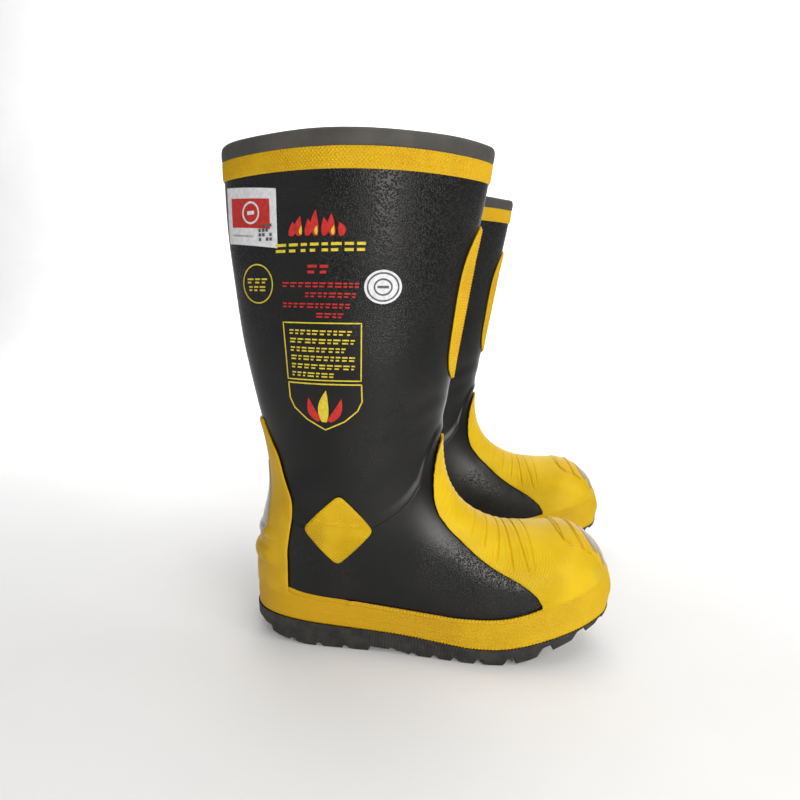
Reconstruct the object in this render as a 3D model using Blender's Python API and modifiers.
"""A pair of rubber fire boots, modelled as separate pieces.

Every boot is the same set of pieces; the left boot is the right boot mirrored.  All lengths in this
file are millimetres in one boot's own frame (x forward from the heel, y to the boot's inner side,
z up from the ground) until the meshes are made, which are in metres.

The boot's body is a bent tube.  Its stations run from the toe tip round the instep and up to the
cuff, and each one is a flat section that spans the side view from the back line to the front line.
A place on the body is (t, angle): t is the station, and the angle goes round the section from the
front line (0) over the outer side (+90 degrees) to the back line (180 degrees).
"""

import math

import bmesh
import bpy
import numpy as np
from mathutils import Vector
from mathutils.bvhtree import BVHTree

MM = 0.001

# ---------------------------------------------------------------- driving dimensions, mm

GAP = 0.4                      # clearance between pieces that touch
UPPER_WALL = 2.4               # rubber of the leg and the foot
LINING_WALL = 1.5
LINING_INSET = UPPER_WALL + 0.8
GUARD_WALL = 1.2               # moulded guards on the outside of the rubber
GUARD_LIFT = 1.35              # clearance under them, more than GAP because both surfaces are faceted
COUNTER_WALL = 1.5
COUNTER_LIFT = 1.0
FOXING_WALL = 2.0
FOXING_LIFT = 0.9
FOXING_OUT = FOXING_LIFT + FOXING_WALL
WELT = 0.5                     # how far the sole stands out past the foxing
SOLE_DRAFT = 0.22              # how much the sole narrows on each side per unit of depth
TOE_CAP_WALL = 1.8             # steel
TOE_CAP_REAR_X = 236.0
TOE_CUSHION_LENGTH = 8.0
TOE_ROOM = TOE_CAP_WALL + 1.5  # how much further in the lining lies under the steel
PLATE_WALL = 0.8               # steel under the foot
BOARD_WALL = 2.6
FOOTBED_WALL = 4.5
SOLE_SLAB = 5.0
SOLE_CHAMFER = 1.2
HEEL_FRONT_X = 91.0
LEG_TOP_Z = 349.8
BAND_Z = (333.9, 345.2)
CUFF_TOP_Z = 354.0
BEND_Z = 16.0                  # height above the sole where the foot's wall is widest

# placing of the left boot beside the right one
LEFT_AHEAD = 60.6
LEFT_ASIDE = 213.0
LEFT_TURN_DEG = -1.95

RUBBER_BLACK = (0.018, 0.017, 0.016)
RUBBER_YELLOW = (0.82, 0.56, 0.02)
RUBBER_SOLE = (0.045, 0.043, 0.041)
REFLECTIVE_GREY = (0.42, 0.43, 0.45)
STEEL = (0.55, 0.56, 0.58)
LINING_CLOTH = (0.16, 0.17, 0.18)
FOAM_GREY = (0.10, 0.10, 0.11)
BOARD_BROWN = (0.33, 0.24, 0.15)

# One row a station, from the toe tip to the cuff: back line x and z, front line x and z, half width,
# sideways centre, where the section is widest (0 back, 1 front), roundness powers at back and front, and
# how far the section's two ends are pinched in sideways.
STATIONS = np.array([
    (284.0, 49.0, 284.0, 49.0, 0.0, 7.5, 0.45, 2.2, 2.2, 0.00),
    (281.5, 42.0, 281.0, 62.0, 17.0, 7.3, 0.45, 2.3, 2.2, 0.00),
    (274.5, 36.5, 274.0, 77.0, 29.0, 6.8, 0.43, 2.6, 2.2, 0.00),
    (263.0, 32.5, 263.5, 89.5, 37.5, 5.8, 0.40, 3.0, 2.2, 0.00),
    (249.0, 27.0, 250.0, 98.0, 43.5, 4.2, 0.37, 3.5, 2.2, 0.00),
    (231.0, 21.5, 234.0, 100.8, 47.0, 2.2, 0.35, 3.8, 2.2, 0.00),
    (211.0, 15.5, 213.0, 100.4, 48.5, 0.2, 0.33, 4.0, 2.15, 0.00),
    (189.0, 11.0, 191.5, 102.2, 48.0, -1.6, 0.32, 4.0, 2.1, 0.00),
    (163.0, 9.5, 171.5, 110.0, 45.5, -2.4, 0.31, 4.0, 2.05, 0.00),
    (134.0, 13.0, 156.5, 121.0, 42.0, -2.2, 0.32, 4.0, 2.0, 0.00),
    (98.0, 16.0, 146.5, 134.5, 39.5, -1.4, 0.34, 4.0, 2.0, 0.00),
    (61.0, 17.0, 140.8, 149.0, 38.0, -0.6, 0.39, 4.0, 2.0, 0.00),
    (28.0, 18.0, 138.0, 165.0, 38.0, 0.0, 0.43, 3.6, 2.0, 0.02),
    (3.0, 28.0, 137.6, 181.0, 38.5, 0.0, 0.47, 2.8, 2.05, 0.06),
    (-2.2, 62.0, 139.0, 197.0, 39.0, 0.0, 0.50, 2.4, 2.1, 0.10),
    (3.5, 99.0, 140.6, 213.0, 40.0, 0.0, 0.50, 2.3, 2.1, 0.15),
    (10.0, 131.0, 142.0, 231.0, 41.5, 0.0, 0.50, 2.2, 2.1, 0.21),
    (7.5, 163.0, 144.0, 251.0, 43.5, 0.0, 0.50, 2.2, 2.1, 0.28),
    (-1.0, 197.0, 146.0, 272.0, 45.5, 0.0, 0.50, 2.2, 2.1, 0.34),
    (-8.5, 234.0, 148.0, 293.0, 47.5, 0.0, 0.50, 2.2, 2.1, 0.39),
    (-13.4, 274.0, 150.6, 314.0, 49.5, 0.0, 0.50, 2.2, 2.15, 0.43),
    (-16.6, 316.0, 153.0, 335.0, 51.5, 0.0, 0.50, 2.2, 2.2, 0.46),
    (-17.0, 356.0, 154.0, 356.0, 53.0, 0.0, 0.50, 2.2, 2.2, 0.48),
])
LAST = len(STATIONS) - 1

# Heights along the foot, as (x, z) points.
FOXING_FOOT = [(-8, 27.6), (18, 27.6), (46, 25.2), (75, 23.3), (107, 22.0), (122, 20.8), (138, 18.9),
               (154, 17.2), (170, 15.8), (188, 16.2), (199, 17.7), (211, 20.1), (227, 24.6), (243, 29.6),
               (260, 34.8), (275, 39.0), (290, 42.5)]
FOXING_EDGE = [(-8, 56.5), (24, 55.3), (35, 51.6), (51, 49.4), (74, 47.6), (106, 44.8), (129, 42.9),
               (154, 41.1), (180, 42.1), (195, 44.3), (210, 48.8), (219, 53.2), (232, 58.4), (247, 63.8),
               (262, 69.8), (276, 74), (290, 77)]
GROUND = [(-8, 17), (0, 15), (4, 12.6), (9, 12), (10, 6.5), (16, 4.6), (38, 0), (HEEL_FRONT_X, 0),
          (HEEL_FRONT_X + 1, 4.8), (116, 3), (126, 0), (200, 0), (217, 4.6), (230, 11), (243, 17.5),
          (253, 22.7), (262, 27.8), (269, 31.2), (281, 37), (290, 40)]

# Outlines in the side view, as (x, z) points.
SEAM = [(5, 113), (27, 113.5), (60, 110), (87, 109), (98, 115), (108, 122), (115, 129), (122, 140),
        (124.6, 154), (131, 171), (137.4, 178.7)]
VAMP_EDGE = [(219, 54.9), (217, 57.6), (213.8, 62.2), (207.9, 66.9), (200.5, 71.4), (193, 74.9),
             (185.5, 78.4), (177.6, 82.6), (170.3, 87.4), (162.4, 93.4), (154.4, 100.2), (146.7, 106.7),
             (142.5, 111.7), (138.4, 116.5), (135.9, 121.6), (133.4, 128.8), (132.5, 136), (132, 143),
             (132.4, 152), (133.6, 161), (135.8, 168.5), (138.2, 174)]
COUNTER_EDGE = [(52, 25.3), (75, 25.2), (86, 24.9), (95, 26.1), (104, 27.5), (113, 29.1), (120, 29.4),
                (127, 28.9), (134, 26.1), (142, 22.6), (150, 20.3), (160, 16.9), (166, 13.3), (172, 10.1),
                (181, 5.4)]    # (z, x)
ANKLE_PATCH = {"x": 63.5, "z": 106.5, "half_x": 25.5, "half_z": 27.5, "power": 1.28}
HEEL_CENTRE = (36.0, 0.0)
TOE_CENTRE = (238.0, 4.0)

# Raised kick-off bars on the heel counter: centre height, half height, how far they stand out.
KICK_BARS = [(69.5, 6.5, 2.6), (89.5, 4.5, 1.6)]
KICK_BAR_SPREAD_DEG = 62.0

# Tread grooves across the forefoot: x, depth, width at the mouth.
TREAD_GROOVES = [(110, 2.2, 6), (127, 2.6, 6), (144, 3, 6.5), (160, 3.6, 7), (178, 5, 7.5),
                 (202, 6.5, 8), (229, 7.5, 9), (255, 7, 8)]
HEEL_GROOVES = [(28, 3, 6), (50, 3, 6), (72, 3, 6)]
GROOVE_HALF_LENGTH = 75.0
HEEL_STEPS = (4, 9, 10, 16)    # x where the heel's lower rear edge steps up


# ---------------------------------------------------------------- the boot's body as a formula

def padded_stations():
    """The station rows with one more at each end, so that the spline runs smoothly through the tip."""
    first = STATIONS[1].copy()
    first[[0, 1, 2, 3]] = STATIONS[1][[2, 3, 0, 1]]
    first[4] = -STATIONS[1][4]
    last = 2 * STATIONS[-1] - STATIONS[-2]
    return np.vstack([first, STATIONS, last])


PADDED = padded_stations()


def station(t):
    """The station values at t, by a Catmull-Rom spline through the rows."""
    t = np.clip(np.asarray(t, float), 0.0, LAST)
    i = np.minimum(t.astype(int), LAST - 1)
    f = (t - i)[..., None]
    p0, p1, p2, p3 = PADDED[i], PADDED[i + 1], PADDED[i + 2], PADDED[i + 3]
    return p1 + 0.5 * f * (p2 - p0 + f * (2 * p0 - 5 * p1 + 4 * p2 - p3 + f * (3 * (p1 - p2) + p3 - p0)))


def body_point(t, angle):
    """The body's surface at (t, angle), before any offset."""
    back_x, back_z, front_x, front_z, half, centre, widest, back_power, front_power, pinch = np.moveaxis(
        station(t), -1, 0)
    cos, sin = np.cos(angle), np.sin(angle)
    front = cos >= 0
    power = np.where(front, front_power, back_power)
    along = np.abs(cos) ** (2 / power)
    side = np.sign(sin) * np.abs(sin) ** (2 / power) * (1 - pinch * along ** 2)
    s = widest + np.where(front, (1 - widest) * along, -widest * along)
    return np.stack([back_x + s * (front_x - back_x), centre - half * side,
                     back_z + s * (front_z - back_z)], -1)


def body_normal(t, angle):
    """The outward normal at (t, angle), by central differences."""
    step_t, step_angle = 0.04, 0.03
    t = np.clip(t, 2 * step_t, LAST - step_t)
    along = body_point(t + step_t, angle) - body_point(t - step_t, angle)
    across = body_point(t, angle + step_angle) - body_point(t, angle - step_angle)
    normal = np.cross(across, along)
    normal /= np.linalg.norm(normal, axis=-1, keepdims=True)
    centre = (body_point(t, 0 * angle) + body_point(t, 0 * angle + math.pi)) / 2
    away = np.sum(normal * (body_point(t, angle) - centre), -1, keepdims=True)
    return np.where(away < 0, -normal, normal)


def body(t, angle, offset=0.0):
    """Points on the body moved outward by offset."""
    t, angle = np.broadcast_arrays(np.asarray(t, float), np.asarray(angle, float))
    return body_point(t, angle) + body_normal(t, angle) * np.asarray(offset, float)[..., None]


def curve(points, x):
    """Read a list of (x, z) points at x, with straight runs between them."""
    table = np.asarray(points, float)
    return np.interp(x, table[:, 0], table[:, 1])


def floor_z(x):
    """The underside of the rubber foot."""
    return curve(FOXING_FOOT, x) + 0.8


def locate(x, z):
    """The (t, angle) whose side view is (x, z), on the outer side."""
    t = np.linspace(0.02, LAST, 2200)
    rows = station(t)
    run_x, run_z = rows[:, 2] - rows[:, 0], rows[:, 3] - rows[:, 1]
    cross = (x - rows[:, 0]) * run_z - (z - rows[:, 1]) * run_x
    s = ((x - rows[:, 0]) * run_x + (z - rows[:, 1]) * run_z) / (run_x ** 2 + run_z ** 2)
    turns = np.nonzero((cross[:-1] * cross[1:] <= 0) & (np.abs(s[:-1] - 0.5) < 0.75))[0]
    k = turns[np.argmin(np.abs(s[turns] - 0.5))]
    widest, back_power, front_power = rows[k, 6:9]
    if s[k] >= widest:
        along = min((s[k] - widest) / (1 - widest), 1.0)
        return t[k], math.acos(along ** (front_power / 2))
    along = min((widest - s[k]) / widest, 1.0)
    return t[k], math.pi - math.acos(along ** (back_power / 2))


def edge_table(outline):
    """An outline in the side view as sorted rows of (t, angle)."""
    return np.array(sorted(locate(x, z) for x, z in outline))


def front_t(z):
    """The station whose front line is at height z, above the toe."""
    t = np.linspace(5, LAST, 1500)
    return float(np.interp(z, station(t)[:, 3], t))


# ---------------------------------------------------------------- casting rays on the body

def body_tree():
    t = np.linspace(0, LAST, LAST * 8 + 1)[:, None]
    count = 120
    angle = np.linspace(-math.pi, math.pi, count, endpoint=False)[None, :]
    points = body(t, angle)
    rows = points.shape[0]
    faces = [(i * count + j, i * count + (j + 1) % count, (i + 1) * count + (j + 1) % count,
              (i + 1) * count + j) for i in range(rows - 1) for j in range(count)]
    return BVHTree.FromPolygons([Vector(p) for p in points.reshape(-1, 3)], faces)


TREE = body_tree()


def cast(centre, direction, z):
    """The body's outer surface at height z along a level direction from centre, and its normal."""
    direction = Vector((direction[0], direction[1], 0)).normalized()
    start = Vector((centre[0], centre[1], z)) + direction * 300
    hit, normal, _, _ = TREE.ray_cast(start, -direction)
    if normal.dot(direction) < 0:
        normal = -normal
    return np.array(hit), np.array(normal)


def foot_directions(side_count, end_count):
    """Centres and level directions round the foot: outer side, toe, inner side, heel."""
    frames = []
    for k in range(side_count):
        x = HEEL_CENTRE[0] + (TOE_CENTRE[0] - HEEL_CENTRE[0]) * k / side_count
        y = HEEL_CENTRE[1] + (TOE_CENTRE[1] - HEEL_CENTRE[1]) * k / side_count
        frames.append(((x, y), (0.0, -1.0)))
    for k in range(end_count):
        a = -math.pi / 2 + math.pi * k / end_count
        frames.append((TOE_CENTRE, (math.cos(a), math.sin(a))))
    for k in range(side_count):
        x = TOE_CENTRE[0] + (HEEL_CENTRE[0] - TOE_CENTRE[0]) * k / side_count
        y = TOE_CENTRE[1] + (HEEL_CENTRE[1] - TOE_CENTRE[1]) * k / side_count
        frames.append(((x, y), (0.0, 1.0)))
    for k in range(end_count):
        a = math.pi / 2 + math.pi * k / end_count
        frames.append((HEEL_CENTRE, (math.cos(a), math.sin(a))))
    return frames


def wall_point(centre, direction, share):
    """A point on the foot's wall, share of the way up the foxing, with its outward normal."""
    x = centre[0] + direction[0] * 40
    for _ in range(4):
        low, high = curve(FOXING_FOOT, x), curve(FOXING_EDGE, x)
        z = low + share * (high - low)
        hit, normal = cast(centre, direction, max(z, low + BEND_Z))
        x = hit[0]
    if z < low + BEND_Z:
        normal[2] = 0
        normal /= np.linalg.norm(normal)
    return np.array([hit[0], hit[1], z]), normal


def foot_outline():
    """The foot's outline seen from above where its wall is widest, as points and normals."""
    pairs = [wall_point(c, d, 0.0) for c, d in foot_directions(60, 40)]
    return np.array([p for p, _ in pairs]), np.array([n for _, n in pairs])


OUTLINE, OUTLINE_NORMAL = foot_outline()


def moved_outline(offset, heel_trim=0.0):
    """The outline moved outward by offset, and inward by heel_trim more at the back of the heel."""
    near_heel = np.clip((34 - OUTLINE[:, 0]) / 30, 0, 1) ** 1.5
    return (OUTLINE + OUTLINE_NORMAL * (offset - heel_trim * near_heel)[:, None])[:, :2]


def breadths(x, ring):
    """The two y values of an outline at x."""
    following = np.roll(ring, -1, axis=0)
    crossing = (ring[:, 0] - x) * (following[:, 0] - x) <= 0
    a, b = ring[crossing], following[crossing]
    share = (x - a[:, 0]) / np.where(b[:, 0] == a[:, 0], 1e-9, b[:, 0] - a[:, 0])
    y = a[:, 1] + share * (b[:, 1] - a[:, 1])
    return y.min(), y.max()


# ---------------------------------------------------------------- making meshes

def make_mesh(name, points, faces):
    mesh = bpy.data.meshes.new(name)
    mesh.from_pydata([tuple(p) for p in np.asarray(points) * MM], [], faces)
    mesh.validate()
    return mesh


def grid_mesh(name, grid, closed=False, tip=False):
    """A mesh from rows of points. closed joins each row's ends; tip makes the first row one point."""
    rows, columns = grid.shape[:2]
    start = 1 if tip else 0
    points = list(grid[start:].reshape(-1, 3))
    span = columns if closed else columns - 1
    faces = []
    for i in range(rows - start - 1):
        for j in range(span):
            k = (j + 1) % columns
            this, following = i * columns, (i + 1) * columns
            faces.append((this + j, this + k, following + k, following + j))
    if tip:
        points.append(grid[0, 0])
        faces += [(len(points) - 1, (j + 1) % columns, j) for j in range(span)]
    return make_mesh(name, points, faces)


def face_outward(mesh, centre):
    """Turn every face so that the sheet as a whole faces away from centre (mm)."""
    centre = Vector(centre) * MM
    total = sum(p.normal.dot(p.center - centre) * p.area for p in mesh.polygons)
    if total < 0:
        mesh.flip_normals()


def smooth(mesh):
    mesh.shade_smooth()
    mesh.set_sharp_from_angle(angle=math.radians(40))


class Boot:
    """Holds one boot's objects, and makes each new piece for it."""

    def __init__(self, collection, materials):
        self.collection = collection
        self.materials = materials
        self.pieces = {}

    def add(self, name, mesh, material):
        mesh.materials.clear()
        mesh.materials.append(self.materials[material])
        smooth(mesh)
        piece = bpy.data.objects.new("right_" + name, mesh)
        self.collection.objects.link(piece)
        self.pieces[name] = piece
        return piece

    def shell(self, name, grid, material, wall, centre, closed=False, tip=False, outward=True, cut=None):
        """An open sheet given a thickness, outward or inward. cut trims the sheet first."""
        mesh = grid_mesh(name, grid, closed, tip)
        face_outward(mesh, centre)
        if cut:
            cut(mesh)
        piece = self.add(name, mesh, material)
        solidify = piece.modifiers.new("thickness", "SOLIDIFY")
        solidify.thickness = wall * MM
        solidify.offset = 1 if outward else -1
        solidify.use_even_offset = True
        return piece


def keep_side(mesh, point, normal):
    """Cut a sheet with a plane (mm) and keep the side that normal points to."""
    work = bmesh.new()
    work.from_mesh(mesh)
    bmesh.ops.bisect_plane(work, geom=work.verts[:] + work.edges[:] + work.faces[:],
                           plane_co=Vector(point) * MM, plane_no=Vector(normal), clear_inner=True)
    bmesh.ops.dissolve_degenerate(work, dist=0.0002, edges=work.edges[:])
    work.to_mesh(mesh)
    work.free()


def section_loft(name, stations):
    """A closed solid through cross sections of equal point counts."""
    count = len(stations[0])
    points = [p for section in stations for p in section]
    faces = []
    for i in range(len(stations) - 1):
        for j in range(count):
            k = (j + 1) % count
            faces.append((i * count + j, i * count + k, (i + 1) * count + k, (i + 1) * count + j))
    faces.append(tuple(range(count)))
    faces.append(tuple((len(stations) - 1) * count + j for j in reversed(range(count))))
    mesh = make_mesh(name, points, faces)
    work = bmesh.new()
    work.from_mesh(mesh)
    bmesh.ops.recalc_face_normals(work, faces=work.faces[:])
    work.to_mesh(mesh)
    work.free()
    return mesh


def layer_section(x, ring, bottom, top, chamfer=0.0, draft_from=None):
    """A cross section of a sole layer at x.

    Its lower corners are cut, and below the height draft_from its sides slope inward.
    """
    y_low, y_high = breadths(x, ring)
    trim = min(chamfer, 0.2 * (y_high - y_low), 0.4 * (top - bottom))
    if trim == 0:
        return [(x, y_low, top), (x, y_high, top), (x, y_high, bottom), (x, y_low, bottom)]
    most = 0.25 * (y_high - y_low)
    upper = min(SOLE_DRAFT * (draft_from - top), most)
    lower = min(SOLE_DRAFT * (draft_from - bottom), most)
    return [(x, y_low + upper, top), (x, y_high - upper, top), (x, y_high - lower, bottom + trim),
            (x, y_high - lower - trim, bottom), (x, y_low + lower + trim, bottom),
            (x, y_low + lower, bottom + trim)]


def layer_xs(ring, low_x=None, high_x=None, extra=()):
    """Where a sole layer is cut into sections: close together at its round ends, and at every bend."""
    first = ring[:, 0].min() + 0.4 if low_x is None else low_x
    final = ring[:, 0].max() - 0.4 if high_x is None else high_x
    ends = [first + d for d in (0, 1.5, 4.5, 10, 18)] if low_x is None else [first]
    ends += [final - d for d in (0, 1.2, 4, 8, 14)] if high_x is None else [final]
    bends = [x for x, _ in FOXING_FOOT] + list(extra)
    return sorted(ends + [x for x in bends if min(abs(x - e) for e in ends) > 3 and first < x < final])


def flat_layer(name, offset, heel_trim, under, over):
    """A layer inside the foot: its outline moved by offset, between two height curves."""
    ring = moved_outline(offset, heel_trim)
    return section_loft(name, [layer_section(x, ring, under(x), over(x)) for x in layer_xs(ring)])


# ---------------------------------------------------------------- the pieces of one boot

MID_FOOT = (190.0, 0.0, 55.0)
MID_LEG = (67.0, 0.0, 230.0)
AROUND = 20
FOOT_SHARES = np.array([0, 0.028, 0.06, 0.095, 0.143, 0.2, 0.262, 0.333, 0.413, 0.48, 0.545, 0.61, 0.67,
                        0.74, 0.80, 0.85, 0.90, 0.95, 1.0])
LEG_SHARES = np.array([0, 0.09, 0.18, 0.28, 0.40, 0.55, 0.70, 0.85, 1.0])
SEAM_GAP = 0.08                # in stations


def around():
    return np.linspace(-math.pi, math.pi, AROUND, endpoint=False)


def seam_t(angle):
    """The station of the ankle seam at each angle round the leg."""
    table = edge_table(SEAM)
    order = np.argsort(table[:, 1])
    return np.interp(np.abs(angle), table[order, 1], table[order, 0])


def flatten(points, clearance):
    """Lift what hangs below the foot's flat floor, clearance above it."""
    points = points.copy()
    points[..., 2] = np.maximum(points[..., 2], floor_z(points[..., 0]) + clearance)
    return points


def foot_rows(angle):
    return FOOT_SHARES[:, None] * seam_t(angle)[None, :]


def level_t(z, angle):
    """The station at which the leg's surface has height z, at one angle."""
    t = np.linspace(16, LAST, 600)
    return np.interp(z, body_point(t, angle)[:, 2], t)


def leg_rows(angle):
    start = seam_t(angle)[None, :] + SEAM_GAP
    end = np.array([level_t(LEG_TOP_Z, a) for a in angle])[None, :]
    return start + LEG_SHARES[:, None] * (end - start)


def foot_upper(boot):
    angle = around()
    t = foot_rows(angle)
    grid = flatten(body(t, angle[None, :] + 0 * t), 0.0)
    boot.shell("foot_upper", grid, "black rubber", UPPER_WALL, MID_FOOT, closed=True, tip=True,
               outward=False)


def leg_upper(boot):
    angle = around()
    t = leg_rows(angle)
    grid = body(t, angle[None, :] + 0 * t)
    boot.shell("leg_upper", grid, "black rubber", UPPER_WALL, MID_LEG, closed=True, outward=False)


def lining_inset(x):
    """How far in the lining lies: further under the steel toe cap."""
    share = np.clip((x - (TOE_CAP_REAR_X - 24)) / 12, 0, 1)
    return LINING_INSET + TOE_ROOM * share * share * (3 - 2 * share)


PLATE_LIFT = UPPER_WALL + 1.2
BOARD_LIFT = PLATE_LIFT + PLATE_WALL + GAP
LINING_LIFT = BOARD_LIFT + BOARD_WALL + 1.2
FOOTBED_LIFT = LINING_LIFT + LINING_WALL + 1.0


def lining(boot):
    angle = around()
    t = np.vstack([foot_rows(angle), leg_rows(angle)[[1, 2, 3, 4, 6, 7, 8]]])
    x = body_point(t, angle[None, :] + 0 * t)[..., 0]
    grid = flatten(body(t, angle[None, :] + 0 * t, -lining_inset(x)), LINING_LIFT)
    boot.shell("lining", grid, "lining cloth", LINING_WALL, (120, 0, 120), closed=True, tip=True,
               outward=False)


def guard(boot, name, grid_t, grid_angle, material, lift=GUARD_LIFT, wall=GUARD_WALL, centre=MID_FOOT):
    """A moulded guard that follows the body between rows of (t, angle)."""
    return boot.shell(name, body(grid_t, grid_angle, lift + 0 * grid_t), material, wall, centre)


def vamp_guard(boot):
    """The yellow guard over the toe and the instep, down to the foxing and up to its tongue."""
    edge = [(x, curve(FOXING_EDGE, x) + 1.7) for x in (275, 270, 262, 247, 232, 222)] + VAMP_EDGE
    table = edge_table(edge)
    rows = np.concatenate([np.linspace(table[0, 0], 5.6, 7), np.linspace(6.3, table[-1, 0], 9)])
    half = np.maximum(np.interp(rows, table[:, 0], table[:, 1]), 0.2)
    columns = np.linspace(-1, 1, 11)
    guard(boot, "vamp_guard", rows[:, None] + 0 * columns, half[:, None] * columns, "yellow rubber")


def toe_plate(boot):
    rows = np.linspace(2.35, 5.35, 8)
    share = (rows - rows[0]) / (rows[-1] - rows[0])
    half = np.radians(12 + 30 * np.sin(math.pi * (0.12 + 0.8 * share)) ** 0.8)
    columns = np.linspace(-1, 1, 9)
    lift = GUARD_LIFT + GUARD_WALL + 0.5
    guard(boot, "toe_plate", rows[:, None] + 0 * columns, half[:, None] * columns, "yellow rubber", lift,
          1.0)


def toe_reflectors(boot):
    lift = GUARD_LIFT + GUARD_WALL + 1.5 + 0.4
    columns = np.linspace(-1, 1, 9)
    strips = (("toe_reflector_front", 2.65, 2.95, 26), ("toe_reflector_rear", 3.35, 3.75, 29))
    for name, t_low, t_high, half_deg in strips:
        rows = np.array([t_low, t_high])
        angle = math.radians(half_deg) * columns[None, :] + 0 * rows[:, None]
        guard(boot, name, rows[:, None] + 0 * columns, angle, "reflective sheet", lift, 0.5)


def shin_guard(boot):
    rows = np.linspace(front_t(214), front_t(310), 11)
    share = np.linspace(-1, 1, 11)
    half = math.radians(28) * np.sqrt(1 - share ** 4) + math.radians(3)
    columns = np.linspace(-1, 1, 7)
    guard(boot, "shin_guard", rows[:, None] + 0 * columns, half[:, None] * columns, "yellow rubber",
          centre=MID_LEG)


def ankle_patches(boot):
    """Rounded diamonds on both sides of the ankle, as rings of points round their centre."""
    count, rings = 16, 2
    turn = np.linspace(0, 2 * math.pi, count, endpoint=False)
    power = ANKLE_PATCH["power"]
    radius = (np.abs(np.cos(turn)) ** power + np.abs(np.sin(turn)) ** power) ** (-1 / power)
    for name, side in (("ankle_patch_outer", 1), ("ankle_patch_inner", -1)):
        grid = np.zeros((rings + 1, count, 3))
        for i in range(rings + 1):
            for j in range(count):
                reach = radius[j] * i / rings
                t, angle = locate(ANKLE_PATCH["x"] + ANKLE_PATCH["half_x"] * reach * math.cos(turn[j]),
                                  ANKLE_PATCH["z"] + ANKLE_PATCH["half_z"] * reach * math.sin(turn[j]))
                grid[i, j] = body(t, side * angle, GUARD_LIFT)
        boot.shell(name, grid, "yellow rubber", GUARD_WALL, (63, 0, 107), closed=True, tip=True)


def kick_bar_height(z, off_back):
    """How far the counter's surface stands out for its kick-off bars."""
    fade = np.clip((math.radians(KICK_BAR_SPREAD_DEG) - np.abs(off_back)) / 0.35, 0, 1)
    rise = sum(out * np.clip(1 - ((z - middle) / half) ** 2, 0, 1) for middle, half, out in KICK_BARS)
    return rise * fade


def counter_angle(z, reach_x):
    """How far round from the back line the body reaches x, at height z, from the heel's centre."""
    low, high = 0.02, math.radians(110)
    for _ in range(30):
        middle = (low + high) / 2
        hit, _ = cast(HEEL_CENTRE, (-math.cos(middle), math.sin(middle)), z)
        low, high = (middle, high) if hit[0] < reach_x else (low, middle)
    return middle


def heel_sheet(heights, half_angles, columns, lift):
    """Rows of points round the back of the heel, from its inner to its outer side."""
    grid = np.zeros((len(heights), columns, 3))
    turn = np.zeros((len(heights), columns))
    for i, (z, half) in enumerate(zip(heights, half_angles)):
        for j, share in enumerate(np.linspace(-1, 1, columns)):
            angle = half * share
            hit, normal = cast(HEEL_CENTRE, (-math.cos(angle), math.sin(angle)), z)
            grid[i, j] = hit + normal * lift(z, angle)
            turn[i, j] = angle
    return grid, turn


def heel_counter(boot):
    heights = [58, 63.5, 66.5, 69.5, 73, 77, 84.5, 89.5, 94.5, 104, 114, 124, 134, 145, 157, 168, 180.5]
    halves = [counter_angle(z, curve(COUNTER_EDGE, z)) for z in heights]
    grid, turn = heel_sheet(heights, halves, 9, lambda z, a: COUNTER_LIFT)
    piece = boot.shell("heel_counter", grid, "yellow rubber", COUNTER_WALL, (36, 0, 100))
    most = COUNTER_WALL + max(bar[2] for bar in KICK_BARS)
    group = piece.vertex_groups.new(name="wall")
    for i, z in enumerate(heights):
        for j in range(grid.shape[1]):
            wall = COUNTER_WALL + kick_bar_height(z, turn[i, j])
            group.add([i * grid.shape[1] + j], wall / most, "REPLACE")
    solidify = piece.modifiers["thickness"]
    solidify.thickness = most * MM
    solidify.vertex_group = "wall"
    solidify.use_even_offset = False


def heel_reflector(boot):
    heights = np.array([91, 93, 96, 103, 112, 122, 133, 144, 151])
    share = (heights - heights[0]) / (heights[-1] - heights[0])
    halves = 0.04 + 0.36 * np.sin(math.pi * share ** 0.8) ** 0.8

    def lift(z, angle):
        return COUNTER_LIFT + COUNTER_WALL + kick_bar_height(z, angle) + 0.6

    grid, _ = heel_sheet(heights, halves, 5, lift)
    boot.shell("heel_reflector", grid, "reflective sheet", 0.5, (36, 0, 100))


def foxing(boot):
    """The yellow band all round the foot, over the joint between the upper and the sole."""
    frames = foot_directions(10, 12)
    shares = [0.0, 0.36, 0.7, 0.985]
    grid = np.zeros((len(shares), len(frames), 3))
    for i, share in enumerate(shares):
        for j, (centre, direction) in enumerate(frames):
            point, normal = wall_point(centre, direction, share)
            at_toe = np.clip((point[0] - 262) / 12, 0, 1)
            grid[i, j] = point + normal * (FOXING_LIFT + 0.9 * at_toe)
    boot.shell("foxing", grid, "yellow rubber", FOXING_WALL, MID_FOOT, closed=True)


def leg_ring(z, offset):
    """Points round the leg at height z, moved out by offset."""
    ring = []
    for angle in around():
        level = level_t(z, angle)
        normal = body_normal(level, angle)
        normal[2] = 0
        point = body_point(level, angle) + normal / np.linalg.norm(normal) * offset
        ring.append((point[0], point[1], z))
    return ring


def collar_band(boot):
    low, high = BAND_Z
    grid = np.array([leg_ring(z, 0.35) for z in (low, (low + high) / 2, high)])
    boot.shell("collar_band", grid, "yellow rubber", 1.0, MID_LEG, closed=True)


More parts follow.
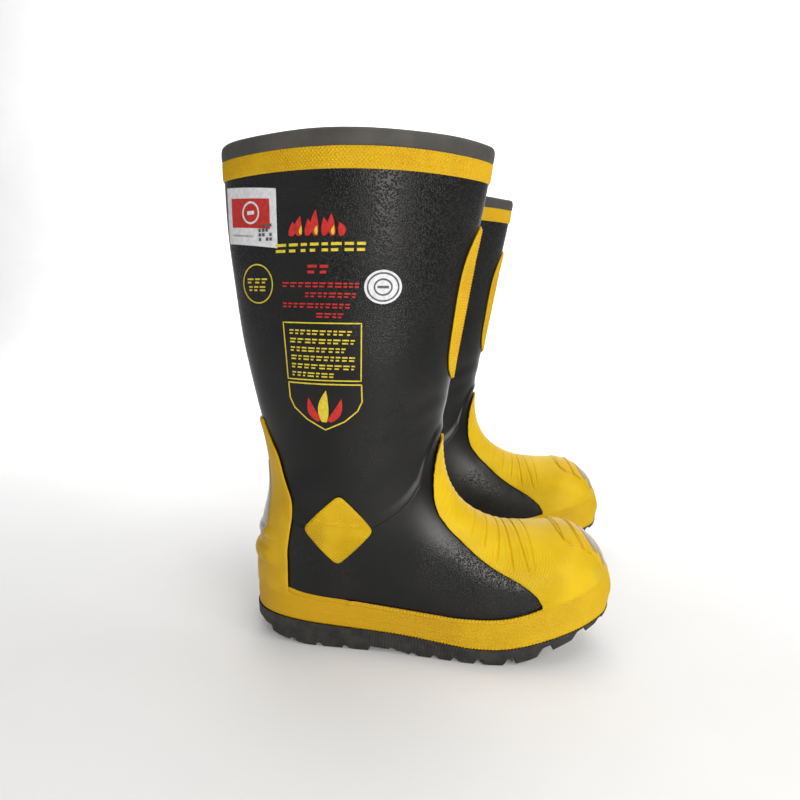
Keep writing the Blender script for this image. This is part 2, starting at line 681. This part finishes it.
def top_cuff(boot):
    """The rubber binding folded over the top edges of the leg and the lining."""
    inner = -(LINING_INSET + LINING_WALL + GAP + 0.7)
    skin = inner - 1.2
    under = LEG_TOP_Z + GAP
    profile = [(0.35, BAND_Z[1] + GAP), (1.35, BAND_Z[1] + GAP), (1.45, under + 1.0), (0.5, CUFF_TOP_Z - 0.6),
               (-1.2, CUFF_TOP_Z), (-4.2, CUFF_TOP_Z - 0.2), (skin, under), (skin, 343.0), (inner, 343.0),
               (inner, under), (0.35, under)]
    rings = [leg_ring(z, offset) for offset, z in profile]
    count = len(rings[0])
    faces = []
    for i in range(len(rings)):
        this, following = i * count, ((i + 1) % len(rings)) * count
        for j in range(count):
            k = (j + 1) % count
            faces.append((this + j, this + k, following + k, following + j))
    mesh = make_mesh("top_cuff", [p for ring in rings for p in ring], faces)
    work = bmesh.new()
    work.from_mesh(mesh)
    bmesh.ops.recalc_face_normals(work, faces=work.faces[:])
    work.to_mesh(mesh)
    work.free()
    boot.add("top_cuff", mesh, "cuff rubber")


def toe_sheet(rows):
    """The inside of the rubber toe, as rows of points for the steel cap and its cushion."""
    angle = around()
    t = rows[:, None] + 0 * angle[None, :]
    return body(t, angle[None, :] + 0 * t, -(LINING_INSET + 0.6 + 0 * t))


def toe_cap(boot):
    rows = np.array([0.0, 0.4, 0.85, 1.4, 2.1, 3.0, 4.0, 4.9, 5.8])

    def cut(mesh):
        keep_side(mesh, (TOE_CAP_REAR_X, 0, 0), (1, 0, 0))
        keep_side(mesh, (TOE_CAP_REAR_X, 0, 39.5), (-0.25, 0, 1))

    boot.shell("toe_cap_steel", toe_sheet(rows), "steel", TOE_CAP_WALL, (245, 4, 60), closed=True, tip=True,
               outward=False, cut=cut)


def toe_cushion(boot):
    """The soft strip that covers the steel cap's rear edge."""
    rows = np.array([4.2, 4.8, 5.3, 5.8, 6.3])

    def cut(mesh):
        keep_side(mesh, (TOE_CAP_REAR_X - TOE_CUSHION_LENGTH, 0, 0), (1, 0, 0))
        keep_side(mesh, (TOE_CAP_REAR_X - GAP, 0, 0), (-1, 0, 0))
        keep_side(mesh, (TOE_CAP_REAR_X, 0, 41.0), (-0.25, 0, 1))

    boot.shell("toe_cap_cushion", toe_sheet(rows), "foam", TOE_CAP_WALL, (232, 2, 50), closed=True,
               outward=False, cut=cut)


def inner_layers(boot):
    """The steel plate, the board and the footbed, one above the other inside the foot."""
    layers = (("puncture_plate", "steel", -17.0, PLATE_LIFT, PLATE_WALL),
              ("insole_board", "board", -13.5, BOARD_LIFT, BOARD_WALL),
              ("footbed", "foam", -13.0, FOOTBED_LIFT, FOOTBED_WALL))
    for name, material, offset, lift, wall in layers:
        boot.add(name, flat_layer(name, offset, 9.0, lambda x, lift=lift: floor_z(x) + lift,
                                  lambda x, top=lift + wall: floor_z(x) + top), material)


def groove_cutter(name, x, depth, mouth, surface, cutters):
    """A wedge across the sole, wider at the ground, square to the sole's slope."""
    slope = math.atan2(surface(x + 6) - surface(x - 6), 12)
    bpy.ops.mesh.primitive_cube_add(size=1)
    cutter = bpy.context.object
    cutter.name = name
    for vertex in cutter.data.vertices:
        wide = mouth if vertex.co.z < 0 else mouth * 0.55
        drop = -6.0 if vertex.co.z < 0 else depth
        across = math.copysign(GROOVE_HALF_LENGTH, vertex.co.y)
        vertex.co = Vector((math.copysign(wide / 2, vertex.co.x), across, drop)) * MM
    cutter.location = Vector((x, 0, surface(x))) * MM
    cutter.rotation_euler = (0, -slope, 0)
    hide_cutter(cutter, cutters)
    return cutter


def hide_cutter(cutter, cutters):
    for collection in list(cutter.users_collection):
        collection.objects.unlink(cutter)
    cutters.objects.link(cutter)
    cutter.hide_render = True
    cutter.display_type = "WIRE"


def cut_with(piece, cutters_list):
    for cutter in cutters_list:
        boolean = piece.modifiers.new(cutter.name, "BOOLEAN")
        boolean.operation = "DIFFERENCE"
        boolean.object = cutter


def ground(x):
    return float(curve(GROUND, x))


def sole_top(x):
    slope_room = 0.6 * float(np.clip((x - 190) / 30, 0, 1))
    return float(curve(FOXING_FOOT, x)) - GAP - slope_room


def sole_loft(name, ring, xs, under, over):
    sections = [layer_section(x, ring, under(x), over(x), SOLE_CHAMFER, sole_top(x)) for x in xs]
    return section_loft(name, sections)


def outsole(boot, cutters):
    """The tread: a slab under the whole foot, with lugs in front of the heel block."""
    ring = moved_outline(FOXING_OUT + WELT)
    step_x = HEEL_FRONT_X + GAP
    bends = [x for x, _ in GROUND]

    def under(x):
        return sole_top(x) - SOLE_SLAB if x <= step_x else ground(x)

    xs = layer_xs(ring, None, step_x) + layer_xs(ring, step_x + 0.5, None, bends)
    piece = boot.add("outsole", sole_loft("outsole", ring, xs, under, sole_top), "sole rubber")
    cut_with(piece, [groove_cutter("tread_groove", x, depth, mouth, ground, cutters)
                     for x, depth, mouth in TREAD_GROOVES])


def heel_block(boot, cutters):
    ring = moved_outline(FOXING_OUT + WELT)
    xs = layer_xs(ring, None, HEEL_FRONT_X, HEEL_STEPS)
    mesh = sole_loft("heel_block", ring, xs, ground, lambda x: sole_top(x) - SOLE_SLAB - GAP)
    piece = boot.add("heel_block", mesh, "sole rubber")
    cut_with(piece, [groove_cutter("heel_groove", x, depth, mouth, ground, cutters)
                     for x, depth, mouth in HEEL_GROOVES])


# ---------------------------------------------------------------- the pair

def principled(name, colour, roughness, metallic=0.0):
    material = bpy.data.materials.new(name)
    material.use_nodes = True
    shader = material.node_tree.nodes["Principled BSDF"]
    shader.inputs["Base Color"].default_value = (*colour, 1)
    shader.inputs["Roughness"].default_value = roughness
    shader.inputs["Metallic"].default_value = metallic
    return material


def make_materials():
    return {
        "black rubber": principled("black rubber", RUBBER_BLACK, 0.45),
        "cuff rubber": principled("cuff rubber", RUBBER_BLACK, 0.7),
        "yellow rubber": principled("yellow rubber", RUBBER_YELLOW, 0.5),
        "sole rubber": principled("sole rubber", RUBBER_SOLE, 0.7),
        "reflective sheet": principled("reflective sheet", REFLECTIVE_GREY, 0.35, 0.4),
        "steel": principled("steel", STEEL, 0.35, 1.0),
        "lining cloth": principled("lining cloth", LINING_CLOTH, 0.95),
        "foam": principled("foam", FOAM_GREY, 0.9),
        "board": principled("board", BOARD_BROWN, 0.85),
    }


def clear_scene():
    for item in list(bpy.data.objects):
        bpy.data.objects.remove(item, do_unlink=True)
    for mesh in list(bpy.data.meshes):
        bpy.data.meshes.remove(mesh)


def new_collection(name):
    collection = bpy.data.collections.new(name)
    bpy.context.scene.collection.children.link(collection)
    return collection


def new_frame(name, parent, collection):
    frame = bpy.data.objects.new(name, None)
    collection.objects.link(frame)
    frame.parent = parent
    return frame


def mirrored_copy(piece, parent, collection):
    copy = piece.copy()
    copy.name = piece.name.replace("right_", "left_", 1)
    copy.parent = parent
    collection.objects.link(copy)
    return copy


def settle_cuts(piece):
    """Make a piece's cuts part of its mesh, so that the mirrored copy needs no cutters of its own."""
    depsgraph = bpy.context.evaluated_depsgraph_get()
    mesh = bpy.data.meshes.new_from_object(piece.evaluated_get(depsgraph))
    piece.modifiers.clear()
    piece.data = mesh


def pair_bounds(pieces):
    depsgraph = bpy.context.evaluated_depsgraph_get()
    low = np.full(3, np.inf)
    high = -low
    for piece in pieces:
        evaluated = piece.evaluated_get(depsgraph)
        mesh = evaluated.to_mesh()
        points = np.array([piece.matrix_world @ v.co for v in mesh.vertices])
        low, high = np.minimum(low, points.min(0)), np.maximum(high, points.max(0))
        evaluated.to_mesh_clear()
    return low, high


def main():
    clear_scene()
    collection = new_collection("fire_boots")
    cutters = new_collection("cutters")
    boot = Boot(collection, make_materials())
    for make in (foot_upper, leg_upper, lining, vamp_guard, toe_plate, toe_reflectors, shin_guard,
                 ankle_patches, heel_counter, heel_reflector, foxing, collar_band, top_cuff, toe_cap,
                 toe_cushion, inner_layers):
        make(boot)
    outsole(boot, cutters)
    heel_block(boot, cutters)
    bpy.context.view_layer.update()
    settle_cuts(boot.pieces["outsole"])
    settle_cuts(boot.pieces["heel_block"])

    pair = new_frame("pair_frame", None, collection)
    right = new_frame("right_boot_frame", pair, collection)
    left = new_frame("left_boot_frame", pair, collection)
    left.location = (LEFT_AHEAD * MM, LEFT_ASIDE * MM, 0)
    left.rotation_euler = (0, 0, math.radians(LEFT_TURN_DEG))
    left.scale = (1, -1, 1)
    pieces = []
    for piece in boot.pieces.values():
        piece.parent = right
        pieces += [piece, mirrored_copy(piece, left, collection)]
    bpy.context.view_layer.update()
    low, high = pair_bounds(pieces)
    pair.location = (-(low[0] + high[0]) / 2, -(low[1] + high[1]) / 2, -low[2])
    bpy.context.view_layer.update()


main()
